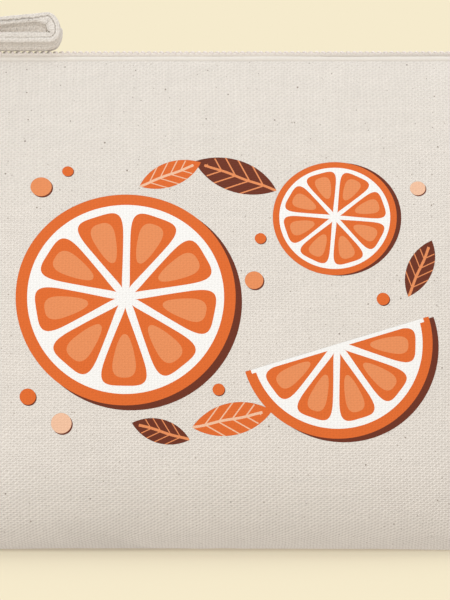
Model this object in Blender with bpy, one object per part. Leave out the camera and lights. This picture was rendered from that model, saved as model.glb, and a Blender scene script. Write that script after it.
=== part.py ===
"""A zipped canvas pouch with a boxed bottom, stuffed and standing on its base.

Two canvas panels meet at the side seams and along the middle of the base. A nylon coil
zip closes the top, and its slider carries a wire ring with a folded canvas pull strap.

Metres, +Z up, X along the zip, -Y the front. The origin is in the middle of the base.
Moving pieces: the slider runs along X, and the ring with its strap swings about Y.
"""

import math

import bmesh
import bpy

for old in list(bpy.data.objects):
    bpy.data.objects.remove(old)

MM = 0.001

# ---- Driving sizes: the canvas body ------------------------------------------------
PANEL_WIDTH = 250 * MM  # a panel's flat width, side seam to side seam
EDGE_Z = 138.9 * MM  # height of the canvas edge along the zip
EDGE_DEPTH = 5.8 * MM  # from the middle plane out to that edge
BELLY_Z = 27 * MM  # height at which the stuffed pouch is deepest
BELLY_DEPTH = 48 * MM  # half of its depth there
TOP_HALF = 124.0 * MM  # half its length at the canvas edge
BELLY_HALF = 95.0 * MM  # half its length at the belly
END_RADIUS = 13 * MM  # rounding of the base's two short ends
WALL = 1.2 * MM  # canvas with its turned edges and seam allowances
GAP = 0.3 * MM  # between touching pieces

# ---- Driving sizes: the zip ----------------------------------------------------------
CHAIN_TOP = 142.1 * MM  # top of the closed coil
COIL_WIDTH = 3.0 * MM  # one row, from the middle out
COIL_HEIGHT = 1.2 * MM
COIL_END = 100.9 * MM  # each row's end, from the middle
TAPE_THICK = 0.6 * MM
TAPE_END = 101.6 * MM
STOP_LENGTH = 1.3 * MM
TAB_START = 103.1 * MM  # canvas tabs close the two ends of the slot

# ---- Driving sizes: slider, ring and strap ---------------------------------------
SLIDER_X = -94.7 * MM  # where the closed slider stands
SLIDER_LENGTH = 11 * MM
SLIDER_WIDTH = 9 * MM
SLIDER_WAIST = 7.9 * MM  # its width at the narrow end
PLATE_THICK = 1.0 * MM
BRIDGE_WIDTH = 2.0 * MM
PIVOT_Z = 145.0 * MM  # the ring's bar under the bridge
WIRE_RADIUS = 0.7 * MM
RING_LENGTH = 11 * MM  # pivot to the bar that holds the strap
RING_PIVOT_HALF = 6.2 * MM
RING_BAR_HALF = 6.9 * MM
STRAP_WIDTH = 11 * MM
STRAP_THICK = 3.2 * MM
STRAP_LENGTH = 48.2 * MM  # pivot to the tip of the strap
EYE_HEIGHT = 8.8 * MM  # the loop's outer height at its open end
SEWN_HEIGHT = 6.75 * MM  # where its two runs are sewn together
STRAP_ROLL = math.radians(14)  # it leans back over the zip

# ---- Finishes: colour, roughness, metallic -----------------------------------------
CANVAS = ((0.79, 0.74, 0.65), 0.9, 0.0)  # natural cotton canvas
TAPE = ((0.83, 0.78, 0.70), 0.75, 0.0)  # woven polyester
COIL = ((0.80, 0.76, 0.69), 0.4, 0.0)  # nylon
METAL = ((0.72, 0.70, 0.66), 0.3, 1.0)  # nickel plate


def smooth(t):
    """An S curve from 0 to 1."""
    t = min(max(t, 0.0), 1.0)
    return t * t * (3 - 2 * t)


def linked(name, data, finish, parent=None):
    """An object in the scene, in its own material, hung on its parent's origin."""
    color, roughness, metallic = finish
    surface = bpy.data.materials.new(name)
    surface.use_nodes = True
    shader = surface.node_tree.nodes["Principled BSDF"]
    shader.inputs["Base Color"].default_value = (*color, 1)
    shader.inputs["Roughness"].default_value = roughness
    shader.inputs["Metallic"].default_value = metallic
    data.materials.append(surface)
    obj = bpy.data.objects.new(name, data)
    bpy.context.scene.collection.objects.link(obj)
    obj.parent = parent
    return obj


def from_bmesh(name, bm, finish, parent=None):
    """An object made from a bmesh with its faces turned outwards."""
    bmesh.ops.recalc_face_normals(bm, faces=bm.faces)
    mesh = bpy.data.meshes.new(name)
    bm.to_mesh(mesh)
    bm.free()
    return linked(name, mesh, finish, parent)


def prism(name, outline, axis, low, high, finish, parent=None):
    """A closed outline of (a, b) points drawn out along an axis, from low to high."""
    place = {
        "x": lambda a, b, c: (c, a, b),
        "y": lambda a, b, c: (a, c, b),
        "z": lambda a, b, c: (a, b, c),
    }[axis]
    bm = bmesh.new()
    bottom = [bm.verts.new(place(a, b, low)) for a, b in outline]
    top = [bm.verts.new(place(a, b, high)) for a, b in outline]
    bm.faces.new(bottom)
    bm.faces.new(top)
    for i in range(len(outline)):
        j = (i + 1) % len(outline)
        bm.faces.new((bottom[i], bottom[j], top[j], top[i]))
    return from_bmesh(name, bm, finish, parent)


def pivot(name, location, parent=None):
    """An empty that a moving piece turns about or slides with."""
    empty = bpy.data.objects.new(name, None)
    bpy.context.scene.collection.objects.link(empty)
    empty.location = location
    empty.parent = parent
    return empty


# ---- The canvas body ---------------------------------------------------------------
# The middle of the front is two arcs: a quarter turn up from the floor to the belly, and
# a wide arc that leans back from the belly to the zip. Each level is a rounded outline,
# from a box at the belly to a narrow slot at the zip, as long as the cloth is wide.

FACE_RISE = EDGE_Z - BELLY_Z
FACE_DROP = BELLY_DEPTH - EDGE_DEPTH
LEAN_TOP = 2 * math.atan(FACE_DROP / FACE_RISE)
FACE_RADIUS = FACE_RISE / math.sin(LEAN_TOP)
LEVELS_ABOVE = 13
LEVELS_BELOW = 7
COLUMNS = 40
FINE = 360  # steps used to measure an outline


def front_curve(half_width, half_depth, along, across):
    """A fine line of (x, y) across the front half of one level, left seam to right."""
    seam = GAP / 2
    line = []
    for i in range(FINE + 1):
        angle = math.pi * i / FINE
        c, s = -math.cos(angle), math.sin(angle)
        x = half_width * math.copysign(abs(c) ** (2 / along), c)
        line.append((x, -seam - (half_depth - seam) * max(s, 0.0) ** (2 * across)))
    return line


def running_length(line):
    """How far along the line each of its points is."""
    total = [0.0]
    for (x0, y0), (x1, y1) in zip(line, line[1:]):
        total.append(total[-1] + math.hypot(x1 - x0, y1 - y0))
    return total


def squareness(half_width, half_depth, across):
    """The exponent along X that makes the front outline as long as the panel is wide."""
    low, high = 1.2, 60.0
    for _ in range(40):
        middle = (low + high) / 2
        line = front_curve(half_width, half_depth, middle, across)
        if running_length(line)[-1] > PANEL_WIDTH:
            high = middle
        else:
            low = middle
    return (low + high) / 2


def evenly_spaced(line, count):
    """count + 1 points at equal steps along the line, its two ends included."""
    total = running_length(line)
    points = [line[0]]
    k = 0
    for i in range(1, count):
        target = total[-1] * i / count
        while total[k + 1] < target:
            k += 1
        share = (target - total[k]) / (total[k + 1] - total[k])
        (x0, y0), (x1, y1) = line[k], line[k + 1]
        points.append((x0 + (x1 - x0) * share, y0 + (y1 - y0) * share))
    return points + [line[-1]]


def level_above(share, inset):
    """One level between belly (0) and zip (1), pushed in by inset: (height, points)."""
    lean = LEAN_TOP * share
    z = BELLY_Z + FACE_RADIUS * math.sin(lean)
    half_depth = BELLY_DEPTH - FACE_RADIUS * (1 - math.cos(lean))
    t = (z - BELLY_Z) / FACE_RISE
    half_width = BELLY_HALF + (TOP_HALF - BELLY_HALF) * t**1.2
    across = 0.40 + 0.60 * smooth(t / 0.9)
    along = squareness(half_width, half_depth, across)
    side_inset = inset * (1 + 1.5 * smooth(share))  # the ends are sharper near the zip
    line = front_curve(half_width - side_inset, half_depth - inset, along, across)
    return z, evenly_spaced(line, COLUMNS)


def level_below(share, inset):
    """One level between belly (0) and floor (1), pushed in by inset."""
    turn = math.pi / 2 * share
    radius = BELLY_Z - inset
    z = BELLY_Z - radius * math.sin(turn) if share < 1 else inset
    half_depth = BELLY_DEPTH - BELLY_Z + radius * math.cos(turn)
    end_radius = END_RADIUS - inset
    rise = max(END_RADIUS - z, 0.0)
    tuck = end_radius - math.sqrt(max(end_radius**2 - rise**2, 0.0))
    half_width = BELLY_HALF - inset - tuck
    along = squareness(BELLY_HALF, BELLY_DEPTH, 0.40)
    return z, evenly_spaced(front_curve(half_width, half_depth, along, 0.40), COLUMNS)


def canvas_panel(name, side):
    """Front (side 1) or back (side -1) panel with its half of the base, one wall thick."""
    bm = bmesh.new()
    skins = []
    for inset in (0.0, WALL):
        levels = [level_above(1 - i / LEVELS_ABOVE, inset) for i in range(LEVELS_ABOVE)]
        levels += [level_below(i / LEVELS_BELOW, inset) for i in range(LEVELS_BELOW + 1)]
        skins.append(
            [[bm.verts.new((x, side * y, z)) for x, y in points] for z, points in levels]
        )
    for rows in skins:
        for upper, lower in zip(rows, rows[1:]):
            for i in range(COLUMNS):
                bm.faces.new((upper[i], upper[i + 1], lower[i + 1], lower[i]))
        bm.faces.new(rows[-1])
    outer, inner = skins
    for i in range(COLUMNS):
        bm.faces.new((outer[0][i], outer[0][i + 1], inner[0][i + 1], inner[0][i]))
    for end in (0, -1):
        for k in range(len(outer) - 1):
            bm.faces.new(
                (outer[k][end], outer[k + 1][end], inner[k + 1][end], inner[k][end])
            )
    bm.faces.new((outer[-1][0], outer[-1][-1], inner[-1][-1], inner[-1][0]))
    panel = from_bmesh(name, bm, CANVAS)
    panel.data.shade_smooth()
    panel.data.set_sharp_from_angle(angle=math.radians(40))


def end_tab(name, side):
    """The folded canvas tab that closes one end of the zip's slot."""
    line = level_above(1, WALL + 2 * GAP)[1]
    shore = [(x, y + GAP) for x, y in line if x > TAB_START + 0.5 * MM and y < -2 * GAP]
    shore = [(TAB_START, shore[0][1])] + shore
    outline = [(side * x, y) for x, y in shore]
    outline += [(side * x, -y) for x, y in reversed(shore)]
    prism(name, outline, "z", EDGE_Z - 2.6 * MM, EDGE_Z + 0.7 * MM, CANVAS)


# ---- The zip ------------------------------------------------------------------------
COIL_FOOT = CHAIN_TOP - COIL_HEIGHT
TAPE_TOP = COIL_FOOT - GAP


def zip_tape(name, side):
    """Woven tape: level under the coil, then down behind the canvas edge."""
    slope = (math.sin(LEAN_TOP), math.cos(LEAN_TOP))
    down = 3.4 * MM
    turn_y, turn_z = EDGE_DEPTH - WALL - 0.8 * MM, EDGE_Z - 0.3 * MM
    top_line = [
        (GAP / 2 + 0.1 * MM, TAPE_TOP),
        (COIL_WIDTH + 0.1 * MM, TAPE_TOP),
        (turn_y - 0.1 * MM, EDGE_Z + 0.1 * MM),
        (turn_y, turn_z),
        (turn_y + down * slope[0], turn_z - down * slope[1]),
    ]
    under_line = [
        (GAP / 2 + 0.1 * MM, TAPE_TOP - TAPE_THICK),
        (COIL_WIDTH - 0.1 * MM, TAPE_TOP - TAPE_THICK),
        (turn_y - 0.7 * MM, EDGE_Z - 0.1 * MM),
        (turn_y - 0.6 * MM, turn_z - 0.2 * MM),
        (turn_y - 0.5 * MM + down * slope[0], turn_z - down * slope[1] - 0.4 * MM),
    ]
    outline = [(-side * y, z) for y, z in top_line + under_line[::-1]]
    prism(name, outline, "x", -TAPE_END, TAPE_END, TAPE)


def coil_row(name, side):
    """One row of the closed nylon coil, as a bar with a rounded outer shoulder."""
    inner, outer, round_off = GAP / 2, COIL_WIDTH, 0.4 * MM
    outline = [
        (inner, COIL_FOOT),
        (outer - 0.2 * MM, COIL_FOOT),
        (outer, COIL_FOOT + round_off),
        (outer, CHAIN_TOP - round_off),
        (outer - 0.12 * MM, CHAIN_TOP - 0.12 * MM),
        (outer - round_off, CHAIN_TOP),
        (inner, CHAIN_TOP),
    ]
    outline = [(-side * y, z) for y, z in outline]
    prism(name, outline, "x", -COIL_END, COIL_END, COIL)


def zip_stop(name, x_side, low_y, high_y):
    """A crimped stop on the end of the chain."""
    near, far = COIL_END + GAP, COIL_END + GAP + STOP_LENGTH
    outline = [
        (low_y, COIL_FOOT),
        (high_y, COIL_FOOT),
        (high_y, CHAIN_TOP + 0.1 * MM),
        (low_y, CHAIN_TOP + 0.1 * MM),
    ]
    low, high = sorted((x_side * near, x_side * far))
    prism(name, outline, "x", low, high, METAL)


# ---- Slider, ring and strap --------------------------------------------------------
PLATE_BOTTOM = CHAIN_TOP + GAP
PLATE_TOP = PLATE_BOTTOM + PLATE_THICK


def slider(parent):
    """The slider's crown: a plate with two flanges astride the coil, and a bridge."""
    inside = COIL_WIDTH + GAP
    outside = SLIDER_WIDTH / 2
    skirt = TAPE_TOP + 0.35 * MM
    half = SLIDER_LENGTH / 2
    shape = [
        (-outside, skirt),
        (-inside, skirt),
        (-inside, PLATE_BOTTOM),
        (inside, PLATE_BOTTOM),
        (inside, skirt),
        (outside, skirt),
        (outside, PLATE_TOP - 0.3 * MM),
        (outside - 0.3 * MM, PLATE_TOP),
        (-outside + 0.3 * MM, PLATE_TOP),
        (-outside, PLATE_TOP - 0.3 * MM),
    ]
    body = prism("slider", shape, "x", -half, half, METAL, parent)

    wide, narrow = outside + 0.01 * MM, SLIDER_WAIST / 2
    plan = [(-half, -0.8 * wide), (-0.55 * half, -wide), (0.2 * half, -narrow)]
    plan += [(half, -narrow), (half, narrow)]
    plan += [(0.2 * half, narrow), (-0.55 * half, wide), (-half, 0.8 * wide)]
    low, high = skirt - 2 * MM, PLATE_TOP + 2 * MM
    trim = prism("slider_plan", plan, "z", low, high, METAL, parent)

    hole_half, hole_top = 1.6 * MM, PIVOT_Z + WIRE_RADIUS + GAP
    foot = PLATE_TOP - 0.5 * MM
    leg, roof = 1.3 * MM, 1.1 * MM
    arch = [
        (-hole_half - leg, foot),
        (-hole_half, foot),
        (-hole_half, hole_top - 0.4 * MM),
        (-hole_half + 0.4 * MM, hole_top),
        (hole_half - 0.4 * MM, hole_top),
        (hole_half, hole_top - 0.4 * MM),
        (hole_half, foot),
        (hole_half + leg, foot),
        (hole_half + 0.6 * leg, hole_top),
        (hole_half - 0.3 * MM, hole_top + roof),
        (-hole_half + 0.3 * MM, hole_top + roof),
        (-hole_half - 0.6 * leg, hole_top),
    ]
    across = BRIDGE_WIDTH / 2
    bridge = prism("slider_bridge", arch, "y", -across, across, METAL, parent)
    for tool, operation in ((trim, "INTERSECT"), (bridge, "UNION")):
        tool.hide_render = True
        tool.display_type = "WIRE"
        cut = body.modifiers.new(tool.name, "BOOLEAN")
        cut.operation = operation
        cut.object = tool


# The ring and the strap are drawn about the ring's pivot: x along the zip, h upwards.
BAR_X = RING_LENGTH
BAR_H = 2.1 * MM  # the strap's thickness lifts the ring's far bar


def pull_ring(parent):
    """Bent wire: one bar passes under the bridge, the other is held inside the strap."""
    corners = [
        (0, -RING_PIVOT_HALF, 0),
        (0, RING_PIVOT_HALF, 0),
        (BAR_X, RING_BAR_HALF, BAR_H),
        (BAR_X, -RING_BAR_HALF, BAR_H),
    ]
    curve = bpy.data.curves.new("pull_ring", "CURVE")
    curve.dimensions = "3D"
    corner_radius, arc_steps = 1.5 * MM, 4
    points = []
    for i, here in enumerate(corners):
        legs = []
        for other in (corners[i - 1], corners[(i + 1) % 4]):
            share = corner_radius / math.dist(here, other)
            legs.append([h + (o - h) * share for h, o in zip(here, other)])
        for k in range(arc_steps + 1):
            t = k / arc_steps
            weights = ((1 - t) ** 2, 2 * t * (1 - t), t**2)
            bent = zip(legs[0], here, legs[1])
            points.append([sum(w * v for w, v in zip(weights, axis)) for axis in bent])
    spline = curve.splines.new("POLY")
    spline.points.add(len(points) - 1)
    for slot, point in zip(spline.points, points):
        slot.co = (*point, 1)
    spline.use_cyclic_u = True
    curve.bevel_depth = WIRE_RADIUS
    curve.bevel_resolution = 2
    linked("pull_ring", curve, METAL, parent)


def strap_height(x):
    """Outer height of the folded strap at x: round the bar, sewn, then the open eye."""
    wrap = 2 * (WIRE_RADIUS + 0.35 * MM + STRAP_THICK)
    sewn_from, sewn_to = BAR_X + 6 * MM, BAR_X + 9 * MM
    eye_full = STRAP_LENGTH - 4 * MM
    opened = min(max((x - sewn_to) / (eye_full - sewn_to), 0.0), 1.0)
    height = wrap + (SEWN_HEIGHT - wrap) * smooth((x - BAR_X) / (sewn_from - BAR_X))
    return height + (EYE_HEIGHT - SEWN_HEIGHT) * opened


def strap_roll(x):
    """The strap is level at the ring and leans back over the zip further on."""
    return STRAP_ROLL * smooth((x - BAR_X - 2 * MM) / (14 * MM))


def strap_middle(x):
    """Height of the strap's middle line, its underside clear of the coil."""
    tilt = strap_roll(x)
    under = CHAIN_TOP - PIVOT_Z + 0.36 * MM + 4.1 * MM * math.tan(tilt)
    free = under + strap_height(x) / 2 * math.cos(tilt)
    return BAR_H + (free - BAR_H) * smooth((x - BAR_X) / (6 * MM))


def strap_path():
    """The strap's own centre line, as (x, height above the middle line, direction)."""
    half_thick = STRAP_THICK / 2
    wrap_radius = strap_height(BAR_X) / 2 - half_thick
    eye_radius = EYE_HEIGHT / 2 - half_thick
    eye_x = STRAP_LENGTH - half_thick - eye_radius
    steps, turn_steps = 22, 10
    run = []
    for i in range(steps + 1):
        x = BAR_X + (eye_x - BAR_X) * i / steps
        run.append((x, strap_height(x) / 2 - half_thick))
    path = list(run)
    for k in range(1, turn_steps):
        angle = math.pi / 2 - math.pi * k / turn_steps
        path.append((eye_x + eye_radius * math.cos(angle), eye_radius * math.sin(angle)))
    path += [(x, -h) for x, h in reversed(run)]
    for k in range(1, turn_steps):
        angle = -math.pi / 2 - math.pi * k / turn_steps
        path.append((BAR_X + wrap_radius * math.cos(angle), wrap_radius * math.sin(angle)))
    return path


def pull_strap(parent):
    """The canvas strap: a flat band folded into a loop, one closed ring of cloth."""
    path = strap_path()
    bm = bmesh.new()
    rings = []
    for i, (x, h) in enumerate(path):
        (x0, h0), (x1, h1) = path[i - 1], path[(i + 1) % len(path)]
        length = math.hypot(x1 - x0, h1 - h0)
        side_x, side_h = (h1 - h0) / length, -(x1 - x0) / length
        ring = []
        for thick, wide in ((-1, -1), (1, -1), (1, 1), (-1, 1)):
            px = x + thick * side_x * STRAP_THICK / 2
            ph = h + thick * side_h * STRAP_THICK / 2
            pw = wide * STRAP_WIDTH / 2
            tilt = strap_roll(px)
            y = pw * math.cos(tilt) + ph * math.sin(tilt)
            up = strap_middle(px) - pw * math.sin(tilt) + ph * math.cos(tilt)
            ring.append(bm.verts.new((px, y, up)))
        rings.append(ring)
    for i, ring in enumerate(rings):
        after = rings[(i + 1) % len(rings)]
        for k in range(4):
            m = (k + 1) % 4
            bm.faces.new((ring[k], ring[m], after[m], after[k]))
    from_bmesh("pull_strap", bm, CANVAS, parent)


canvas_panel("front_panel", 1)
canvas_panel("back_panel", -1)
end_tab("end_tab_left", -1)
end_tab("end_tab_right", 1)
zip_tape("zip_tape_front", 1)
zip_tape("zip_tape_back", -1)
coil_row("coil_front", 1)
coil_row("coil_back", -1)
zip_stop("stop_left_front", -1, -COIL_WIDTH, -GAP / 2)
zip_stop("stop_left_back", -1, GAP / 2, COIL_WIDTH)
zip_stop("stop_right", 1, -COIL_WIDTH, COIL_WIDTH)
zip_slide = pivot("zip_slide", (SLIDER_X, 0, 0))
pull_swing = pivot("pull_swing", (0, 0, PIVOT_Z), zip_slide)
slider(zip_slide)
pull_ring(pull_swing)
pull_strap(pull_swing)
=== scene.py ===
import math
import random

import bmesh
import bpy
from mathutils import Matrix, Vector, noise


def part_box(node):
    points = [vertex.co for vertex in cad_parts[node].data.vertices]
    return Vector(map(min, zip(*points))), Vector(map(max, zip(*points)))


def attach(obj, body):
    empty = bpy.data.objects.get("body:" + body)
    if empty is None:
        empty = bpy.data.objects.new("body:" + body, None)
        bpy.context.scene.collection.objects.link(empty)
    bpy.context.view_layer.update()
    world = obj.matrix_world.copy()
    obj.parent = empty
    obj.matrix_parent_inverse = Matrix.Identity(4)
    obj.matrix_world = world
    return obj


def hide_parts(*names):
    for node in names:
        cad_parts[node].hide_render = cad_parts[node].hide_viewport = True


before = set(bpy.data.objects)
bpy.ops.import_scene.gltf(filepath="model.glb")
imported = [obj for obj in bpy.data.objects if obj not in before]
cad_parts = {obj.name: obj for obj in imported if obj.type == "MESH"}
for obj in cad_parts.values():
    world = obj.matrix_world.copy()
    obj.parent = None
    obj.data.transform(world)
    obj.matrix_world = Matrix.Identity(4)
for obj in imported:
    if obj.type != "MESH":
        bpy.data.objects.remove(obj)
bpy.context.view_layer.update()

MM = 0.001

# ---- The pouch's cloth -----------------------------------------------------------------
# Two equal pieces of heavy cotton canvas, cut as rectangles with a square notch in each
# lower corner. They are sewn down the sides and along the bottom, and each notch is sewn
# shut across, which boxes the base. Paper inside holds the pouch out.
panel_low, panel_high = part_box("front_panel")
HALF_TOP = panel_high.x
BELLY_DEPTH = -panel_low.y
EDGE_Z = panel_high.z
BELLY_Z = 27 * MM
EDGE_DEPTH = 5.8 * MM
HALF_BELLY = 95 * MM
CUT_WIDTH = 250 * MM
FLOOR_GAP = 0.05 * MM  # keeps the base just off the floor

FACE_RISE = EDGE_Z - BELLY_Z
LEAN_TOP = 2 * math.atan((BELLY_DEPTH - EDGE_DEPTH) / FACE_RISE)
FACE_RADIUS = FACE_RISE / math.sin(LEAN_TOP)
FACE_CLOTH = FACE_RADIUS * LEAN_TOP  # cloth from the zip down to the belly
TUCK_CLOTH = BELLY_Z * math.pi / 2  # from the belly under to the floor
CUT_HEIGHT = FACE_CLOTH + TUCK_CLOTH + BELLY_DEPTH - BELLY_Z
ARCH_RISE = 1.15 * MM  # of the base's front and back edges, in the middle
ARCH_HALF = 72 * MM
ACROSS, DOWN, NOTCH = 50, 37, 6  # squares in the cut piece and in a notch
WALL_ROWS = DOWN - NOTCH


def smooth(t):
    """From 0 to 1 without a corner at either end."""
    t = min(max(t, 0.0), 1.0)
    return t * t * (3 - 2 * t)


def in_scene(name, data):
    """A new object of the scene."""
    thing = bpy.data.objects.new(name, data)
    bpy.context.scene.collection.objects.link(thing)
    return thing


def worked_in(piece):
    """The piece with its modifiers worked into a plain mesh."""
    ready = piece.evaluated_get(bpy.context.evaluated_depsgraph_get())
    mesh = bpy.data.meshes.new_from_object(ready)
    mesh.name = piece.name
    piece.modifiers.clear()
    piece.data = mesh
    return piece


def running(points, closed=False):
    """The length from the first point to each, and back to the first if it is closed."""
    total = [0.0]
    for a, b in zip(points, points[1:] + (points[:1] if closed else [])):
        total.append(total[-1] + math.dist(a, b))
    return total


def level_line(half_width, half_depth, along, across, fine=500):
    """Front half of one level's outline, as fine points from the left seam to the right."""
    line = []
    for i in range(fine + 1):
        angle = math.pi * i / fine
        c, s = -math.cos(angle), max(math.sin(angle), 0.0)
        x = half_width * math.copysign(abs(c) ** (2 / along), c)
        line.append((x, half_depth * s ** (2 * across)))
    return line


def level_points(half_width, half_depth, across):
    """The outline that uses up the cloth's width, as points one grid square apart."""
    low, high = 1.2, 60.0
    for _ in range(36):
        along = (low + high) / 2
        line = level_line(half_width, half_depth, along, across)
        run = running(line)
        low, high = (low, along) if run[-1] > CUT_WIDTH else (along, high)
    points, k = [line[0]], 0
    for i in range(1, ACROSS):
        target = run[-1] * i / ACROSS
        while run[k + 1] < target:
            k += 1
        share = (target - run[k]) / (run[k + 1] - run[k])
        points.append(tuple(p + (q - p) * share for p, q in zip(line[k], line[k + 1])))
    return points + [line[-1]]


def pinch(x):
    """How far the two panels' edges have come together past the zip's end."""
    drawn_in = 0.93 * smooth((abs(x) - 97 * MM) / (25 * MM))
    sewn_shut = 0.055 * smooth((abs(x) - 110 * MM) / (9 * MM))
    return drawn_in + sewn_shut


def wall_row(cloth):
    """Places across the wall at that length of cloth down from the zip."""
    if cloth <= FACE_CLOTH:
        lean = LEAN_TOP * (1 - cloth / FACE_CLOTH)
        z = BELLY_Z + FACE_RADIUS * math.sin(lean)
        depth = BELLY_DEPTH - FACE_RADIUS * (1 - math.cos(lean))
        t = (z - BELLY_Z) / FACE_RISE
        half = HALF_BELLY + (HALF_TOP - HALF_BELLY) * t**1.2
        points = level_points(half, depth, 0.4 + 0.6 * smooth(t / 0.9))
        near_zip = 1 - smooth(cloth / (30 * MM))
        return [(x, y * (1 - near_zip * pinch(x)), z) for x, y in points]
    turn = (cloth - FACE_CLOTH) / BELLY_Z
    z = BELLY_Z * (1 - math.sin(turn))
    depth = BELLY_DEPTH - BELLY_Z * (1 - math.cos(turn))
    half = HALF_BELLY + 3.5 * MM * smooth(turn)
    return [(x, y, z) for x, y in level_points(half, depth, 0.4)]


def base_lift(x):
    """The front and back edges of the base arch a little off the floor in the middle."""
    share = min(abs(x) / ARCH_HALF, 1.0)
    return ARCH_RISE * (0.5 + 0.5 * math.cos(math.pi * share))


def square_key(side, i, j):
    """The name of a grid point, the same for points that the seams bring together."""
    if j > WALL_ROWS and i <= NOTCH:
        i, j = NOTCH - (j - WALL_ROWS), WALL_ROWS
    elif j > WALL_ROWS and i >= ACROSS - NOTCH:
        i, j = ACROSS - NOTCH + (j - WALL_ROWS), WALL_ROWS
    shared = j == DOWN or (i in (0, ACROSS) and j > 0)
    return (0 if shared else side, i, j)


def cut_square(i, j):
    """Whether that square is in the cut piece, not in a notch."""
    return j < WALL_ROWS or NOTCH <= i < ACROSS - NOTCH


wall_rows = [wall_row(CUT_HEIGHT * j / DOWN) for j in range(WALL_ROWS + 1)]


def sewn_place(side, i, j):
    """Where a grid point starts: side 1 is the front, -1 the back."""
    if j <= WALL_ROWS:
        x, y, z = wall_rows[j][i]
        drop = smooth((j - 0.6 * WALL_ROWS) / (0.4 * WALL_ROWS))
        return Vector((x, -side * y, z + base_lift(x) * drop))
    x = wall_rows[WALL_ROWS][i][0]
    y = wall_rows[WALL_ROWS][i][1] * (DOWN - j) / NOTCH
    lift = base_lift(x) * (1 - smooth(2 * (j - WALL_ROWS) / NOTCH))
    return Vector((x, -side * y, lift + 0.2 * MM))


def flat_place(side, i, j):
    """Where the same point is on the flat cut piece."""
    return Vector((CUT_WIDTH * (i / ACROSS - 0.5), -side * 0.1 * MM, -CUT_HEIGHT * j / DOWN))


TIP_SHARE = 0.986  # the side seams' top ends are turned in, which blunts the tips
grid, places, flats, holds = {}, [], [], []
for side in (1, -1):
    for j in range(DOWN + 1):
        for i in range(ACROSS + 1):
            if j > WALL_ROWS and not NOTCH <= i <= ACROSS - NOTCH:
                continue
            key = square_key(side, i, j)
            if key in grid:
                continue
            grid[key] = len(places)
            k_side, k_i, k_j = key
            place = sewn_place(side, k_i, k_j)
            if k_side == 0:
                place.y = 0.0
            if k_j == 0 and k_i in (0, ACROSS):
                place.x *= TIP_SHARE
            places.append(place)
            flats.append(flat_place(side, k_i, k_j))
            middle = 1 - smooth((abs(place.x) - 58 * MM) / (26 * MM))
            holds.append(1.0 if k_j == 0 else middle)
squares = [
    [grid[square_key(side, a, b)] for a, b in ((i, j), (i + 1, j), (i + 1, j + 1), (i, j + 1))]
    for side in (1, -1)
    for j in range(DOWN)
    for i in range(ACROSS)
    if cut_square(i, j)
]


CLOTH_FRAMES = 75
CLOTH_CAP = 9 * MM  # how far a point may move


def settle_cloth():
    """Fills the sewn cloth out from inside; its cut lengths stay what they are."""
    scale = 10  # cloth settings suit things about two metres wide
    mesh = bpy.data.meshes.new("cloth_trial")
    jitter = random.Random(7)
    uneven = [Vector([jitter.uniform(-1.2, 1.2) * MM for _ in range(3)]) for _ in places]
    begun = [(p + u * (1 - h)) * scale for p, u, h in zip(places, uneven, holds)]
    mesh.from_pydata(begun, [], squares)
    bm = bmesh.new()
    bm.from_mesh(mesh)
    bmesh.ops.recalc_face_normals(bm, faces=bm.faces)
    bm.to_mesh(mesh)
    bm.free()
    trial = in_scene("cloth_trial", mesh)
    held = trial.vertex_groups.new(name="held")
    for index, weight in enumerate(holds):
        if weight > 0.01:
            held.add([index], weight, "REPLACE")
    trial.shape_key_add(name="sewn")
    cut = trial.shape_key_add(name="cut")
    for index, place in enumerate(flats):
        cut.data[index].co = place * scale
    cloth = trial.modifiers.new("cloth", "CLOTH")
    settings = cloth.settings
    settings.quality = 8
    settings.mass = 0.15
    for strain, stiffness, damping in (
        ("tension", 40, 5), ("compression", 40, 5), ("shear", 8, 5), ("bending", 0.4, 0.5)
    ):
        setattr(settings, strain + "_stiffness", stiffness)
        setattr(settings, strain + "_damping", damping)
    settings.air_damping = 1
    settings.vertex_group_mass = "held"
    settings.pin_stiffness = 1
    settings.use_pressure = True
    settings.uniform_pressure_force = 9
    settings.rest_shape_key = cut
    settings.effector_weights.gravity = 0.0
    cloth.collision_settings.use_collision = False
    cloth.collision_settings.use_self_collision = False
    cloth.point_cache.frame_end = CLOTH_FRAMES
    scene = bpy.context.scene
    for number in range(1, CLOTH_FRAMES + 1):
        scene.frame_set(number)
    moved = trial.evaluated_get(bpy.context.evaluated_depsgraph_get()).to_mesh()
    settled = [v.co / scale for v in moved.vertices]
    scene.frame_set(1)
    bpy.data.objects.remove(trial)
    return settled


for index, place in enumerate(settle_cloth()):
    step = place - places[index]
    if step.length > CLOTH_CAP:
        step *= CLOTH_CAP / step.length
    places[index] = places[index] + step
    places[index].z = max(places[index].z, FLOOR_GAP)


HALF_CUT = CUT_WIDTH / 2
BOX_CORNER = CUT_WIDTH * (0.5 - NOTCH / ACROSS)  # where the boxing seam ends, off the middle
WALL_CLOTH = CUT_HEIGHT * WALL_ROWS / DOWN
TURN_RADIUS = 0.45 * MM  # of the edge turned under along the zip
FLAP = 5 * MM  # how deep it is tucked in


def seam_distances(u, v):
    """How far a point of the cloth is from the side, base and boxing seams."""
    if v <= WALL_CLOTH:
        boxing = math.hypot(max(BOX_CORNER - abs(u), 0.0), WALL_CLOTH - v)
        return HALF_CUT - abs(u), 1.0, boxing
    return 1.0, CUT_HEIGHT - v, BOX_CORNER - abs(u)


def ripple(u, v, size, seed):
    """Smooth unevenness from -1 to 1 with that wavelength."""
    return noise.noise(Vector((u / size, v / size, seed)))


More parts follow.
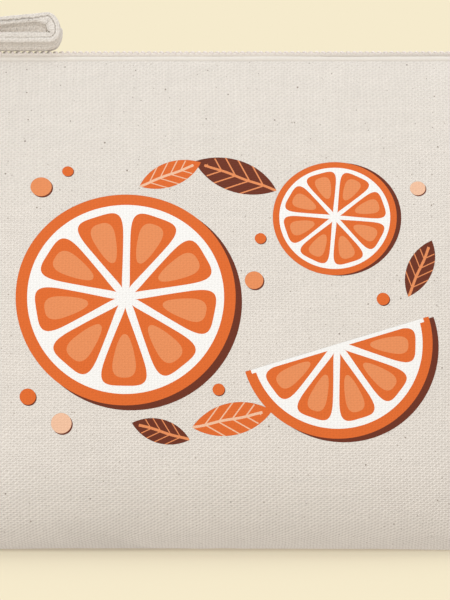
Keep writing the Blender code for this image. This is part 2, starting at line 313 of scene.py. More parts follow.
def sewn_sheet(name, side):
    """One panel as its own sheet, with the cloth's own lengths as its UV map, in metres."""
    index, verts, faces, uvs = {}, [], [], []
    for j in range(DOWN):
        for i in range(ACROSS):
            if not cut_square(i, j):
                continue
            face, flat = [], []
            for a, b in ((i, j), (i + 1, j), (i + 1, j + 1), (i, j + 1)):
                key = square_key(side, a, b)
                if key not in index:
                    index[key] = len(verts)
                    verts.append(places[grid[key]])
                face.append(index[key])
                flat.append((CUT_WIDTH * (a / ACROSS - 0.5), -CUT_HEIGHT * b / DOWN))
            if side == 1:
                face.reverse()
                flat.reverse()
            faces.append(face)
            uvs += flat
    coarse = bpy.data.meshes.new(name + "_coarse")
    coarse.from_pydata(verts, [], faces)
    layer = coarse.uv_layers.new(name="cloth")
    for corner, uv in enumerate(uvs):
        layer.data[corner].uv = uv
    panel = in_scene(name, coarse)
    finer = panel.modifiers.new("finer", "SUBSURF")
    finer.levels = finer.render_levels = 2
    finer.uv_smooth = "NONE"
    finer.boundary_smooth = "PRESERVE_CORNERS"
    return worked_in(panel)


SEAM_SINK, SEAM_REACH = 1.3 * MM, 1.7 * MM  # how deep a seam lies in the cloth, and how wide
PUCKER, ZIP_PUCKER = 0.8 * MM, 0.14 * MM  # of the cloth beside the seams and under the zip
TIP_DEPTH = 1.6 * MM  # where the zip's slot is narrower than this, the turned edge is smaller


def press_seams(mesh, cloth_at, side):
    """Draws the seams in, with the small puckers and slack that sewn canvas keeps."""
    normals = [v.normal.copy() for v in mesh.vertices]
    for vert in mesh.vertices:
        u, v = cloth_at[vert.index]
        side_seam, base_seam, boxing = seam_distances(u, v)
        edge = min(side_seam, base_seam)
        straight = Vector((math.copysign(1, u), 0, 0)) if v <= WALL_CLOTH else Vector((0, 0, -1))
        out = straight.lerp(normals[vert.index], smooth(edge / (4 * MM)))  # same on both panels
        seam = min(edge, boxing)
        sunk = SEAM_SINK * math.exp(-((seam / SEAM_REACH) ** 2))
        free = 1 - math.exp(-((edge / (2 * MM)) ** 2))
        pucker = PUCKER * math.exp(-seam / (8 * MM)) * ripple(u, v, 8 * MM, 3 + side)
        pucker += ZIP_PUCKER * math.exp(-v / (7 * MM)) * ripple(u, v, 9 * MM, 5 + side)
        away = smooth((abs(u) - 50 * MM) / (40 * MM))
        slack = (0.16 + 0.75 * away) * MM * ripple(u, v, 38 * MM, 8 + side)
        slack += (0.06 + 0.16 * away) * MM * ripple(u, v, 15 * MM, 12 + side)
        held = smooth(v / (6 * MM))
        vert.co += out * ((pucker + slack * held) * free * held - sunk * smooth(v / (3 * MM)))
        vert.co.z = max(vert.co.z, FLOOR_GAP)


def turn_edge(mesh, cloth_at, side):
    """Rolls the zip's edge of the cloth over and tucks it down inside."""
    bm = bmesh.new()
    bm.from_mesh(mesh)
    bm.verts.ensure_lookup_table()
    cloth_map = bm.loops.layers.uv["cloth"]
    rim = [
        [v.index for v in e.verts]
        for e in bm.edges
        if e.is_boundary and all(cloth_at[v.index][1] < 1e-6 for v in e.verts)
    ]
    start = {i: bm.verts[i].co.copy() for pair in rim for i in pair}
    fits = {i: min(1.0, abs(co.y) / TIP_DEPTH) for i, co in start.items()}
    turn = [(TURN_RADIUS * math.sin(a), TURN_RADIUS * math.cos(a)) for a in (0.8, 1.6, 2.4, 3.14)]
    lean_in, lean_up = math.sin(LEAN_TOP), math.cos(LEAN_TOP)
    above, length = {i: bm.verts[i] for i in start}, 0.0
    for up, out in turn + [(-FLAP, -TURN_RADIUS)]:
        below = {}
        for i, co in start.items():
            along, off = up * fits[i], (out - TURN_RADIUS) * fits[i]
            if up < 0:
                along *= 0.05 + 0.95 * smooth((HALF_TOP - 7 * MM - abs(co.x)) / (8 * MM))
            inward = min(along * lean_in - off * lean_up, abs(co.y) - 0.1 * MM)
            rise = along * lean_up + off * lean_in
            below[i] = bm.verts.new((co.x, co.y + side * inward, co.z + rise))
        step = FLAP if up < 0 else 0.35 * MM
        for a, b in rim:
            if min(abs(start[a].y), abs(start[b].y)) < 0.3 * MM:
                continue  # sewn shut past the zip's end
            if (start[a].x < start[b].x) == (side == 1):
                a, b = b, a
            face = bm.faces.new((above[b], above[a], below[a], below[b]))
            face.smooth = True
            for loop, i, down in zip(face.loops, (b, a, a, b), (0, 0, step, step)):
                loop[cloth_map].uv = (cloth_at[i][0], (length + down) * fits[i])
        above, length = below, length + step
    bm.to_mesh(mesh)
    bm.free()


front_canvas = sewn_sheet("front_canvas", 1)
back_canvas = sewn_sheet("back_canvas", -1)
for panel, side in ((front_canvas, 1), (back_canvas, -1)):
    cloth_at = {}
    for loop, flat in zip(panel.data.loops, panel.data.uv_layers["cloth"].data):
        cloth_at[loop.vertex_index] = (flat.uv[0], -flat.uv[1])
    press_seams(panel.data, cloth_at, side)
    turn_edge(panel.data, cloth_at, side)
    panel.data.shade_smooth()


def shade(red, green, blue):
    """A colour seen on a screen, 0 to 255, as the light it reflects."""
    parts = [c / 255 for c in (red, green, blue)]
    return tuple(c / 12.92 if c < 0.04045 else ((c + 0.055) / 1.055) ** 2.4 for c in parts) + (1.0,)


def fed(tree, kind, inputs, **settings):
    """A new node with those settings, each input linked or set, by its name or its place."""
    node = tree.nodes.new(kind)
    for name, value in settings.items():
        setattr(node, name, value)
    for name, part in inputs.items():
        part = part.socket if isinstance(part, Sum) else part
        if isinstance(part, bpy.types.NodeSocket):
            tree.links.new(part, node.inputs[name])
        else:
            node.inputs[name].default_value = part
    return node


class Sum:
    """A number that a tree's nodes work out at each point of a piece."""

    def __init__(self, tree, socket):
        self.tree, self.socket = tree, socket

    def step(self, operation, *others):
        inputs = dict(enumerate((self, *others)))
        return Sum(self.tree, fed(self.tree, "ShaderNodeMath", inputs, operation=operation).outputs[0])

    def __add__(self, other):
        return self.step("ADD", other)

    def __sub__(self, other):
        return self.step("SUBTRACT", other)

    def __mul__(self, other):
        return self.step("MULTIPLY", other)

    def __truediv__(self, other):
        return self.step("DIVIDE", other)

    def __pow__(self, other):
        return self.step("POWER", other)

    def less(self, other):
        return self.step("LESS_THAN", other)

    def more(self, other):
        return self.step("GREATER_THAN", other)

    def largest(self, other):
        return self.step("MAXIMUM", other)

    def smallest(self, other):
        return self.step("MINIMUM", other)

    def ramp(self, low, high):
        """0 below low, 1 above high, and smooth between."""
        ends = {"Value": self, "From Min": low, "From Max": high}
        node = fed(self.tree, "ShaderNodeMapRange", ends, interpolation_type="SMOOTHSTEP")
        return Sum(self.tree, node.outputs["Result"])


def noise_sum(tree, vector, scale, detail=2.0, roughness=0.5):
    """Even, repeatable unevenness, about 0.5."""
    inputs = {"Vector": vector, "Scale": scale, "Detail": detail, "Roughness": roughness}
    return Sum(tree, fed(tree, "ShaderNodeTexNoise", inputs).outputs["Fac"])


def joined(tree, x, y, z=0.0):
    """Three numbers as one place or one colour."""
    return fed(tree, "ShaderNodeCombineXYZ", {0: x, 1: y, 2: z}).outputs[0]


def mixed(tree, amount, under, over, blend="MIX"):
    """One colour laid over another by that amount."""
    inputs = {0: amount, 6: under, 7: over}  # this node's places for colours are 6 and 7
    return fed(tree, "ShaderNodeMix", inputs, data_type="RGBA", blend_type=blend).outputs[2]


def plain_material(name, values):
    """A new material with its shader's even values set, with its tree and its shader."""
    material = bpy.data.materials.new(name)
    material.use_nodes = True
    tree = material.node_tree
    shader = tree.nodes["Principled BSDF"]
    for socket, value in values.items():
        shader.inputs[socket].default_value = value
    return material, tree, shader


def toned(tree, colour, tone):
    """The colour made lighter or darker by that number."""
    return mixed(tree, 1.0, colour, joined(tree, tone, tone, tone), "MULTIPLY")


def raised(tree, shader, height, depth, strength=1.0):
    """Lets that height, from 0 to 1, catch the light as relief of that depth."""
    inputs = {"Strength": strength, "Distance": depth, "Height": height}
    bump = fed(tree, "ShaderNodeBump", inputs)
    tree.links.new(bump.outputs[0], shader.inputs["Normal"])


WARP_PITCH = 0.90 * MM  # canvas threads that run up and down
WEFT_PITCH = 0.72 * MM  # and across
CANVAS_COLOUR = shade(236, 229, 220)
# painted shade for the gaps between the threads
THREAD_GAP_SHADE = shade(176, 163, 148)
FLECK_COLOUR = shade(122, 104, 88)
FLECKS = (  # millimetres from one to the next, share kept, largest size, strength
    (9.5, 0.5, 0.38, 0.8),
    (4.4, 0.6, 0.30, 0.5),
)


def cloth_lengths(tree):
    """The piece's own cloth lengths, across and along, in metres."""
    uv = fed(tree, "ShaderNodeUVMap", {}, uv_map="cloth").outputs["UV"]
    apart = fed(tree, "ShaderNodeSeparateXYZ", {0: uv})
    return Sum(tree, apart.outputs[0]), Sum(tree, apart.outputs[1]), uv


def woven_canvas(name, printed=False):
    """Plain-woven natural cotton, with slubs and seed flecks."""
    cloth, tree, shader = plain_material(name, {
        "Roughness": 0.92, "Specular IOR Level": 0.25, "Sheen Weight": 0.12, "Sheen Roughness": 0.6,
    })
    u, v, uv = cloth_lengths(tree)
    drift = noise_sum(tree, uv, 70) - 0.5
    sway = noise_sum(tree, joined(tree, v * 1.3 + 4.0, u * 0.7), 110) - 0.5
    uneven = noise_sum(tree, uv, 330) - 0.5
    across = (u + drift * (1.4 * MM) + uneven * (0.30 * MM)) / WARP_PITCH
    along = (v + sway * (1.3 * MM) - uneven * (0.25 * MM)) / WEFT_PITCH
    warp_number, weft_number = across.step("FLOOR"), along.step("FLOOR")
    b = along - weft_number - 0.5
    a = across - warp_number - 0.5
    turn = ((warp_number + weft_number).step("PINGPONG", 1.0) - 0.5) * 2.0
    leaning = (a - b * turn * 0.4) * math.pi
    warp_crown = leaning.step("COSINE").largest(0.0) ** 0.7
    weft_crown = (b * math.pi).step("COSINE") ** 0.8
    warp_rise = ((b * math.pi).step("COSINE") * turn + 1.0) * 0.5
    weft_rise = ((a * math.pi).step("COSINE") * turn * -1.0 + 1.0) * 0.5
    warp_top, weft_top = warp_crown * warp_rise, weft_crown * weft_rise * 0.8
    height = warp_top.largest(weft_top)
    warp_shown = warp_top.more(weft_top)

    warp_streak = noise_sum(tree, joined(tree, warp_number * 7.31, v * 60), 1.0, 1.0)
    weft_streak = noise_sum(tree, joined(tree, u * 60, weft_number * 5.77), 1.0, 1.0)
    streak = warp_streak * warp_shown + weft_streak * (warp_shown * -1.0 + 1.0)
    patches = noise_sum(tree, uv, 45, 3.0)
    lower = (v * -1.0).ramp(95 * MM, 170 * MM)  # lower on the front, where light grazes the curve of the base; the painted shade in the weave is stronger there
    # Painted shade: the gaps between the threads are darkened, more so lower down.
    gap = (height.ramp(0.05, 0.75) * -1.0 + 1.0) * (lower * 0.22 + 0.17)
    colour = mixed(tree, gap, CANVAS_COLOUR, THREAD_GAP_SHADE)
    # Painted shade: the weave is darkened along its diagonals as slanting light would shade it, more
    # so lower down; the random mottle is stronger lower down too.
    slant = ((across - along) * math.pi).step("COSINE") * (lower * -0.072 - 0.020)
    mottle = (noise_sum(tree, uv, 420, 2.0) - 0.5) * (lower * 0.04 + 0.02)
    tone = streak * 0.14 + patches * 0.06 + 0.915 + slant + mottle
    colour = toned(tree, colour, tone)

    for spacing, share, size, strength in FLECKS:
        inputs = {"Vector": uv, "Scale": 1000 / spacing, "Randomness": 1.0}
        cells = fed(tree, "ShaderNodeTexVoronoi", inputs, voronoi_dimensions="2D")
        chance = fed(tree, "ShaderNodeSeparateColor", {0: cells.outputs["Color"]})
        picked = Sum(tree, chance.outputs[0]).less(share)
        radius = Sum(tree, chance.outputs[1]) * (size / spacing * 0.7) + size / spacing * 0.3
        near = (Sum(tree, cells.outputs["Distance"]) / radius).ramp(0.4, 1.0) * -1.0 + 1.0
        fleck = near * picked * strength
        colour = mixed(tree, fleck, colour, FLECK_COLOUR)

    if printed:
        ink, covered = citrus_print(tree, u / MM, v / MM + 77.0)
        # Painted shade: the ink is darker between the raised threads.
        thread_gap_shade = (height * 0.10 + 0.92).smallest(1.0)
        colour = mixed(tree, covered, colour, toned(tree, ink, thread_gap_shade))
        height = height * (covered * -0.6 + 1.0)
    tree.links.new(colour, shader.inputs["Base Color"])
    raised(tree, shader, height, 0.26 * MM)
    return cloth


INK_ORANGE = shade(228, 109, 43)
INK_LIGHT = shade(236, 146, 92)
INK_WHITE = shade(251, 250, 247)
INK_BROWN = shade(110, 48, 27)
INK_PEACH = shade(245, 197, 164)


def citrus_print(tree, x, y):
    """The screen print on the front: orange slices, leaves and drops, in millimetres."""
    ink, covered = INK_ORANGE, x * 0.0

    def lay(mask, colour):
        nonlocal ink, covered
        ink = mixed(tree, mask, ink, colour)
        covered = covered.largest(mask)

    def turned(centre_x, centre_y, degrees):
        c, s = math.cos(math.radians(degrees)), math.sin(math.radians(degrees))
        px, py = x - centre_x, y - centre_y
        return px * c + py * s, py * c - px * s

    def far(px, py):
        return (px * px + py * py).step("SQRT")

    def slice_of_orange(centre_x, centre_y, radius, degrees, segments, half=False):
        px, py = turned(centre_x, centre_y, degrees)
        kept = py.less(0.0) if half else 1.0
        shadow = far(px - 0.05 * radius, py + 0.055 * radius).less(radius)
        lay(shadow * (py.less(-0.02 * radius) if half else 1.0), INK_BROWN)
        r = far(px, py) / radius
        lay(r.less(1.0) * kept, INK_ORANGE)
        lay(r.less(0.895) * kept, INK_WHITE)
        part = 2 * math.pi / segments
        angle = py.step("ARCTAN2", px)
        middle = ((angle / part).step("FLOOR") + 0.5) * part
        off = angle - middle
        out, aside = r * off.step("COSINE"), (r * off.step("SINE")).step("ABSOLUTE")
        room = (out * math.tan(part / 2) - 0.034).largest(0.001)
        lobe = ((out - 0.455) / 0.365).step("ABSOLUTE") ** 3.4 + (aside / room) ** 4.0
        lay(lobe.less(1.0) * kept, INK_ORANGE)
        pulp = ((out - 0.545) / 0.20).step("ABSOLUTE") ** 2.6 + (aside / room * 1.75) ** 2.6
        lay(pulp.less(1.0) * kept, INK_LIGHT)
        if half:
            lay((py / radius + 0.042).more(0.0) * kept * r.less(0.94), INK_WHITE)

    def leaf(centre_x, centre_y, length, degrees, colour, rib):
        px, py = turned(centre_x, centre_y, degrees)
        bow = 0.72 * length
        side = math.sqrt(bow * bow - length * length / 4)
        shape = far(px, py - side).less(bow) * far(px, py + side).less(bow)
        lay(shape, colour)
        vein = (py + (px * 0.55).step("SINE") * 0.12).step("ABSOLUTE").less(0.38)
        lay(shape * vein * px.less(0.38 * length), rib)
        slant = (px - py.step("ABSOLUTE") * 1.1) / (0.17 * length)
        stripe = (slant - slant.step("ROUND")).step("ABSOLUTE").less(0.07)
        lay(shape * stripe * far(px, py * 1.6).less(0.36 * length), rib)

    def drop(centre_x, centre_y, radius, colour):
        lay(far(x - centre_x - 0.12 * radius, y - centre_y + 0.14 * radius).less(radius), INK_BROWN)
        lay(far(x - centre_x, y - centre_y).less(radius), colour)

    for centre_x, centre_y, length, degrees, colour, rib in (
        (3.0, 37.0, 25.0, 158.0, INK_BROWN, INK_LIGHT),
        (-15.5, 37.5, 19.0, 24.0, INK_ORANGE, INK_PEACH),
        (2.0, -35.0, 23.0, 12.0, INK_ORANGE, INK_PEACH),
        (-18.0, -38.5, 17.0, 163.0, INK_BROWN, INK_LIGHT),
        (55.0, 8.5, 18.0, 68.0, INK_BROWN, INK_LIGHT),
    ):
        leaf(centre_x, centre_y, length, degrees, colour, rib)
    slice_of_orange(-28.0, 0.0, 31.0, 9.0, 9)
    slice_of_orange(31.5, -13.5, 27.0, 17.0, 10, half=True)
    slice_of_orange(31.0, 24.0, 17.5, 40.0, 8)
    for centre_x, centre_y, radius, colour in (
        (8.2, 5.0, 2.6, INK_LIGHT),
        (-1.8, -26.5, 1.7, INK_ORANGE),
        (10.0, 17.5, 1.6, INK_ORANGE),
        (-52.0, 33.5, 3.0, INK_LIGHT),
        (-44.5, 38.5, 1.6, INK_ORANGE),
        (-55.5, -28.5, 2.3, INK_ORANGE),
        (-46.0, -36.0, 2.9, INK_PEACH),
        (54.5, 33.0, 2.2, INK_PEACH),
        (44.5, -0.5, 1.8, INK_ORANGE),
    ):
        drop(centre_x, centre_y, radius, colour)
    return ink, covered


canvas_cloth = woven_canvas("canvas_cloth")
printed_cloth = woven_canvas("printed_cloth", printed=True)
front_canvas.data.materials.append(printed_cloth)
back_canvas.data.materials.append(canvas_cloth)
cut_area = CUT_WIDTH * CUT_HEIGHT * (1 - 2 * NOTCH * NOTCH / (ACROSS * DOWN))
for panel, node in ((front_canvas, "front_panel"), (back_canvas, "back_panel")):
    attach(panel, "pouch")
    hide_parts(node)

# ---- The zip's tapes -------------------------------------------------------------------
# Two strips of fine polyester tape, woven smooth. Each carries one row of the coil along
# its inner edge, bends down over the canvas edge and is sewn to the canvas inside.
COIL_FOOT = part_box("coil_front")[0].z
COIL_SINK = 0.3 * MM  # how far the coil's turns press into the soft tape
TAPE_FACE = COIL_FOOT - 0.1 * MM - COIL_SINK
TAPE_THICK = 0.45 * MM
TAPE_END = 104.2 * MM
BACK_SAG = 0.5 * MM  # the back tape lies a little lower, and so does its coil row


def slot_half(x):
    """Half the width of the zip's slot at x, out to the canvas edge."""
    edge = wall_rows[0]
    for (xa, ya, _), (xb, yb, _) in zip(edge, edge[1:]):
        if xa <= x <= xb:
            return ya + (yb - ya) * (x - xa) / (xb - xa)
    return 0.0


def built(name, bm):
    """A new object of those faces, turned outward."""
    bmesh.ops.recalc_face_normals(bm, faces=bm.faces)
    mesh = bpy.data.meshes.new(name)
    bm.to_mesh(mesh)
    bm.free()
    return in_scene(name, mesh)


def lofted(name, rings, along, around=None, ring_of_rings=False):
    """A closed body through rings of points, with its own lengths as its UV map."""
    around = around or running(rings[len(rings) // 2], closed=True)
    bm = bmesh.new()
    cloth_map = bm.loops.layers.uv.new("cloth")
    rows = [[bm.verts.new(p) for p in ring] for ring in rings]
    last = len(rows) if ring_of_rings else len(rows) - 1
    for i in range(last):
        here, after = rows[i], rows[(i + 1) % len(rows)]
        for k in range(len(here)):
            m = (k + 1) % len(here)
            face = bm.faces.new((here[k], here[m], after[m], after[k]))
            face.smooth = True
            flats = ((i, k), (i, k + 1), (i + 1, k + 1), (i + 1, k))
            for loop, (a, b) in zip(face.loops, flats):
                loop[cloth_map].uv = (along[a], around[b])
    if not ring_of_rings:
        for end in (0, -1):
            cap = bm.faces.new(rows[end])
            for loop in cap.loops:
                loop[cloth_map].uv = (loop.vert.co.y, loop.vert.co.z)
    return built(name, bm)


def tape_outline(x, sag):
    """The tape's upper and under side at x, as (out from the middle, height)."""
    room = min(slot_half(x), EDGE_DEPTH) - EDGE_DEPTH
    level = TAPE_FACE - sag
    face = [
        (-0.35 * MM if sag == 0 else 0.02 * MM, level),  # the front tape laps over the back one
        (1.7 * MM, level + 0.02 * MM),
        (3.05 * MM + 0.6 * room, level + 0.04 * MM),
        (3.7 * MM + 0.8 * room, level - 0.06 * MM + sag * 0.3),
        (4.34 * MM + room, TAPE_FACE - 0.38 * MM),
        (4.77 * MM + room, TAPE_FACE - 0.76 * MM),
        (4.87 * MM + room, TAPE_FACE - 1.06 * MM),
        (4.76 * MM + room, TAPE_FACE - 1.40 * MM),  # drawn in where the canvas edge lies on it
    ]
    lean_out, lean_down = math.sin(LEAN_TOP), math.cos(LEAN_TOP)
    y, z = face[-1]
    for down in (2 * MM, 5 * MM, 9 * MM):
        face.append((y + down * (lean_out - 0.25), z - down * lean_down))
    under = []
    for k in range(len(face)):
        (ya, za), (yb, zb) = face[max(k - 1, 0)], face[min(k + 1, len(face) - 1)]
        length = math.hypot(yb - ya, zb - za)
        y, z = face[k]
        under.append((y + (zb - za) / length * TAPE_THICK, z - (yb - ya) / length * TAPE_THICK))
    return face, under


def woven_tape(name):
    """Fine tight polyester weave with a herringbone rib and a soft sheen."""
    weave, tree, shader = plain_material(
        name, {"Roughness": 0.62, "Sheen Weight": 0.25, "Sheen Roughness": 0.4}
    )
    u, v, uv = cloth_lengths(tree)
    rib = (u / (0.42 * MM) + (v / (1.1 * MM)).step("PINGPONG", 1.0) * 0.8) * (2 * math.pi)
    height = rib.step("SINE") * 0.5 + 0.5
    cross = (v / (0.28 * MM) * (2 * math.pi)).step("SINE") * 0.25
    height = height + cross
    patches = noise_sum(tree, uv, 130, 3.0)
    # Painted shade: the tape is a little darker in the hollows of its rib.
    tone = height * 0.035 + patches * 0.07 + 0.93
    tree.links.new(toned(tree, shade(232, 225, 215), tone), shader.inputs["Base Color"])
    raised(tree, shader, height, 0.06 * MM, strength=0.5)
    return weave


tape_cloth = woven_tape("tape_cloth")
for name, node, side in (("front_tape", "zip_tape_front", 1), ("back_tape", "zip_tape_back", -1)):
    stations = [TAPE_END * (2 * i / 120 - 1) for i in range(121)]
    rings = []
    for x in stations:
        face, under = tape_outline(x, 0.0 if side == 1 else BACK_SAG)
        sway = 0.12 * MM * noise.noise(Vector((x / (24 * MM), side, 0)))
        rings.append([(x, -side * y, z + sway * smooth(y / (4 * MM))) for y, z in face + under[::-1]])
    tape = lofted(name, rings, stations)
    tape.data.materials.append(tape_cloth)
    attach(tape, "pouch")
    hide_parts(node)
    canvas = "front_canvas" if side == 1 else "back_canvas"

# ---- The zip's coil --------------------------------------------------------------------
# Each row is one nylon wire wound into a flat coil round a thin cord, and sewn to its tape
# by a row of small stitches. The heads of the two rows pass each other in the middle.
coil_low, coil_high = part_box("coil_front")
COIL_TOP = coil_high.z
COIL_END = coil_high.x
COIL_OUTER = -coil_low.y
COIL_PITCH = 1.78 * MM
COIL_WIRE = 0.41 * MM  # radius
CORD_HALF_WIDTH = 1.34 * MM
CORD_HALF_HEIGHT = 0.54 * MM
CORD_DROP = 0.37 * MM  # its middle lies under the turns' middle


def blunt_oval(half_across, half_up, count, across_power, up_power):
    """Points round an oval with flattened sides, as (across, up)."""
    points = []
    for k in range(count):
        c, r = math.cos(2 * math.pi * k / count), math.sin(2 * math.pi * k / count)
        across = half_across * math.copysign(abs(c) ** across_power, c)
        points.append((across, half_up * math.copysign(abs(r) ** up_power, r)))
    return points


def group_inputs(group, sizes):
    """Named inputs for a tree, with their starting values; gives back the input node."""
    for name, value in sizes.items():
        kind = "NodeSocketVector" if isinstance(value, tuple) else "NodeSocketFloat"
        if isinstance(value, int):
            kind = "NodeSocketInt"
        if isinstance(value, bpy.types.Material):
            kind = "NodeSocketMaterial"
        place = group.interface.new_socket(name, in_out="INPUT", socket_type=kind)
        if kind != "NodeSocketMaterial":
            place.default_value = value
    group.interface.new_socket("Geometry", in_out="OUTPUT", socket_type="NodeSocketGeometry")
    return group.nodes.new("NodeGroupInput")


def made_by(group, name, sizes, start=None):
    """The tree's result as a plain mesh piece, its inputs set first."""
    piece = in_scene(name, start or bpy.data.meshes.new(name + "_start"))
    maker = piece.modifiers.new("maker", "NODES")
    maker.node_group = group
    for item in group.interface.items_tree:
        if item.in_out == "INPUT" and item.name in sizes:
            maker[item.identifier] = sizes[item.name]
    return worked_in(piece)


def finished(group, given, pieces):
    """Real faces, shaded smooth, in the material that was given, as the tree's result."""
    faces = fed(group, "GeometryNodeRealizeInstances", {0: pieces.outputs[0]}).outputs[0]
    faces = fed(group, "GeometryNodeSetShadeSmooth", {0: faces}).outputs[0]
    coat = {0: faces, "Material": given.outputs["Material"]}
    fed(group, "NodeGroupOutput", {0: fed(group, "GeometryNodeSetMaterial", coat).outputs[0]})
    return group


def coil_tree(sizes):
    """A wire wound along X: an oval turn at each pitch, drawn round with the wire's section."""
    group = bpy.data.node_groups.new("wound_coil", "GeometryNodeTree")
    given = group_inputs(group, sizes)

    def number(name):
        return Sum(group, given.outputs[name])

    line = group.nodes.new("GeometryNodeCurvePrimitiveLine").outputs[0]
    count = number("Turns") * number("Steps") + 1
    fine = fed(group, "GeometryNodeResampleCurve", {0: line, "Count": count}).outputs[0]
    along = group.nodes.new("GeometryNodeSplineParameter").outputs["Factor"]
    turned = Sum(group, along) * number("Turns")
    angle = (turned + number("Shift")) * (2 * math.pi)
    straight = (angle * 2).step("SINE") * (0.9 / (4 * math.pi))  # the turns' sides stand upright
    x = (turned - number("Turns") * 0.5 - straight) * number("Pitch")

    def oval(part, size):
        return part.step("ABSOLUTE") ** 0.72 * part.step("SIGN") * size

    y = oval(angle.step("COSINE"), number("Half Width"))
    z = oval(angle.step("SINE"), number("Half Height"))
    parts = {0: joined(group, x, y, z), 1: given.outputs["Centre"]}
    place = fed(group, "ShaderNodeVectorMath", parts, operation="ADD").outputs[0]
    wound = fed(group, "GeometryNodeSetPosition", {0: fine, "Position": place}).outputs[0]
    round_wire = {"Resolution": 6, "Radius": given.outputs["Wire Radius"]}
    section = fed(group, "GeometryNodeCurvePrimitiveCircle", round_wire).outputs[0]
    wire = {0: wound, "Profile Curve": section, "Fill Caps": True}
    return finished(group, given, fed(group, "GeometryNodeCurveToMesh", wire))


def own_place(tree):
    """Each point's place in the piece itself."""
    return tree.nodes.new("ShaderNodeTexCoord").outputs["Object"]


nylon, tree, shader = plain_material("nylon_coil", {"IOR": 1.53})
place = own_place(tree)
dye = noise_sum(tree, place, 420, 3.0) * 0.10 + 0.95
tree.links.new(toned(tree, shade(229, 219, 212), dye), shader.inputs["Base Color"])
polish = noise_sum(tree, place, 900, 2.0) * 0.2 + 0.5
tree.links.new(polish.socket, shader.inputs["Roughness"])

half_width = (COIL_OUTER + 0.3 * MM) / 2 - COIL_WIRE
half_height = (COIL_TOP - COIL_FOOT + COIL_SINK) / 2 - COIL_WIRE
turns = round(2 * COIL_END / COIL_PITCH) - 1
coil_sizes = {
    "Turns": turns, "Steps": 12, "Pitch": COIL_PITCH, "Half Width": half_width,
    "Half Height": half_height, "Wire Radius": COIL_WIRE, "Shift": 0.0,
    "Centre": (0.0, 0.0, 0.0), "Material": nylon,
}
coil_group = coil_tree(coil_sizes)
ROW_MIDDLE = COIL_OUTER - half_width - COIL_WIRE
BACK_DROP = BACK_SAG + 0.05 * MM
for name, node, side, drop in (
    ("front_coil", "coil_front", 1, 0.0), ("back_coil", "coil_back", -1, BACK_DROP)
):
    height = (COIL_TOP + COIL_FOOT - COIL_SINK) / 2 - drop
    coil_sizes["Centre"] = (0.0, -side * ROW_MIDDLE, height)
    coil_sizes["Shift"] = 0.5 if side == 1 else 0.0  # each row's turns lie between the other's
    coil_row = made_by(coil_group, name, coil_sizes)
    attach(coil_row, "pouch")
    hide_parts(node)
    y, z = -side * (ROW_MIDDLE + 0.10 * MM), height - CORD_DROP
    oval = blunt_oval(CORD_HALF_WIDTH, CORD_HALF_HEIGHT, 20, 0.35, 0.5)
    cord_ends = (-COIL_END + 0.4 * MM, COIL_END - 0.4 * MM)
    ends = [[(x, y + across, z + up) for across, up in oval] for x in cord_ends]
    core = lofted(name + "_cord", ends, [-COIL_END, COIL_END])
    core.data.materials.append(tape_cloth)
    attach(core, "pouch")


def stitch_tree(sizes):
    """Short rounded stitches laid end to end along a line, with the needle's gap between."""
    group = bpy.data.node_groups.new("stitch_row", "GeometryNodeTree")
    group.interface.new_socket("Line", in_out="INPUT", socket_type="NodeSocketGeometry")
    given = group_inputs(group, sizes)
    curve = fed(group, "GeometryNodeMeshToCurve", {0: given.outputs["Line"]}).outputs[0]
    spacing = {0: curve, "Length": given.outputs["Pitch"]}
    spaced = fed(group, "GeometryNodeResampleCurve", spacing, mode="LENGTH").outputs[0]
    ball = fed(group, "GeometryNodeMeshUVSphere", {"Segments": 6, "Rings": 5, "Radius": 1.0})
    thick = given.outputs["Thread Radius"]
    size = joined(group, thick, thick, Sum(group, given.outputs["Length"]) * 0.5)
    long = fed(group, "GeometryNodeTransform", {0: ball.outputs[0], "Scale": size}).outputs[0]
    tangent = group.nodes.new("GeometryNodeInputTangent").outputs[0]
    turn = fed(group, "FunctionNodeAlignRotationToVector", {"Vector": tangent}, axis="Z").outputs[0]
    laid = {0: spaced, "Instance": long, "Rotation": turn}
    return finished(group, given, fed(group, "GeometryNodeInstanceOnPoints", laid))


def polyline(name, lines):
    """A mesh of open lines for stitches to follow."""
    mesh = bpy.data.meshes.new(name)
    points, edges = [], []
    for line in lines:
        first = len(points)
        points += [tuple(p) for p in line]
        edges += [(first + k, first + k + 1) for k in range(len(line) - 1)]
    mesh.from_pydata(points, edges, [])
    return mesh


thread, tree, shader = plain_material("sewing_thread", {"Roughness": 0.7, "Sheen Weight": 0.3})
place = own_place(tree)
twist = noise_sum(tree, place, 2600, 2.0) * 0.24 + 0.88
tree.links.new(toned(tree, shade(236, 228, 214), twist), shader.inputs["Base Color"])
raised(tree, shader, twist, 0.05 * MM)

stitch_sizes = {
    "Pitch": COIL_PITCH, "Length": 1.35 * MM, "Thread Radius": 0.17 * MM, "Material": thread
}
stitch_group = stitch_tree(stitch_sizes)
STITCH_DEPTH = 0.46 * MM  # under the tops of the coil's turns
for name, side, drop in (("front_chain_stitches", 1, 0.0), ("back_chain_stitches", -1, BACK_DROP)):
    y, z = -side * (ROW_MIDDLE + 0.25 * MM), COIL_TOP - drop - STITCH_DEPTH
    row = [(-0.995 * COIL_END, y, z), (0.995 * COIL_END, y, z)]
    stitches = made_by(stitch_group, name, stitch_sizes, polyline(name, [row]))
    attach(stitches, "pouch")

